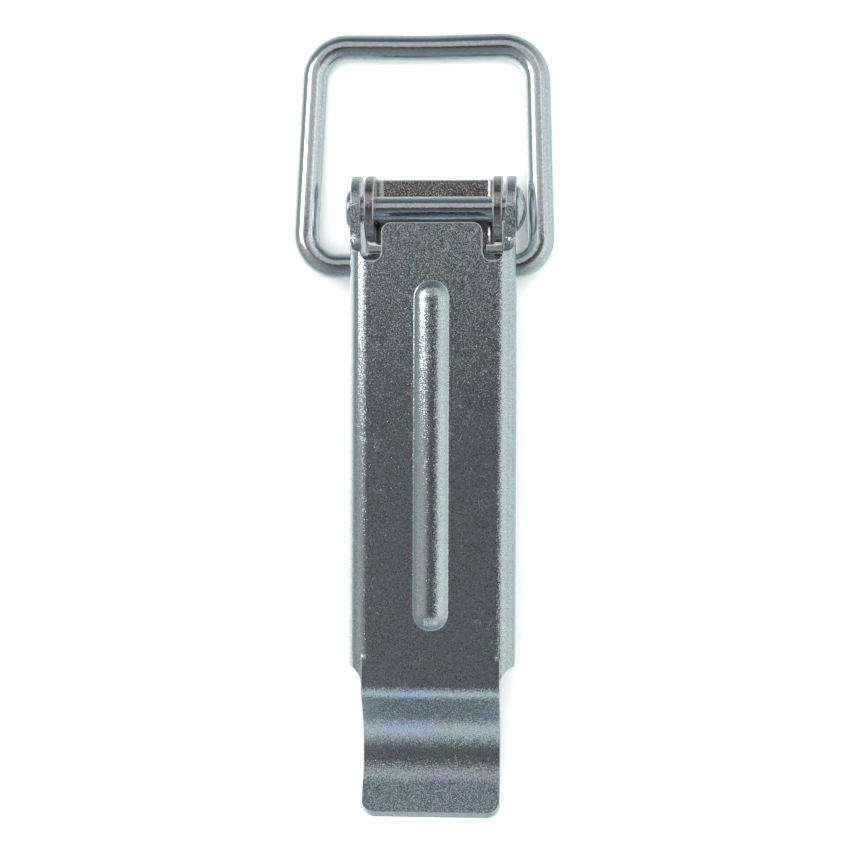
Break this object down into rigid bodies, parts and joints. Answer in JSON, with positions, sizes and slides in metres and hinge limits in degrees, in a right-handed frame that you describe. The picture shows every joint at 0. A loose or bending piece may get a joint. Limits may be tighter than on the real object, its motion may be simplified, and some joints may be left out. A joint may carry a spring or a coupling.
{
  "type": "over centre toggle latch",
  "caption": "Sheet steel over centre latch: a ribbed channel lever with a finger tab pulls a wire bail, and folds down over a flat base plate.",
  "frame": {"origin": "midway between the two screw holes, on the back face of the base plate", "axes": "+Z out of the surface the latch is screwed to, +Y towards the bail, +X across the latch, towards the rivet's domed head"},
  "size_m": [0.0405, 0.12, 0.0141],
  "materials": {
    "plated_sheet": "bright zinc plating over rolled sheet, fine speckle",
    "plated_lever": "bright zinc plating over rolled sheet, fine speckle and light scratches",
    "plated_wire": "bright zinc plating over drawn wire, smooth",
    "plated_rivet": "bright zinc plating over a turned rivet, smooth"
  },
  "bodies": {
    "base": {"base_plate": "plated_sheet", "pivot_rivet": "plated_rivet"},
    "lever": {"lever": "plated_lever"},
    "bail": {"bail": "plated_wire"}
  },
  "joints": [
    {"name": "lever_pivot", "type": "hinge", "parent": "base", "child": "lever", "pos_m": [0, 0.033, 0.0055], "axis": [-1, 0, 0], "range_deg": [0, 145]},
    {"name": "bail_pivot", "type": "hinge", "parent": "lever", "child": "bail", "pos_m": [0, 0.0244, 0.004], "axis": [1, 0, 0], "range_deg": [0, 160]}
  ]
}
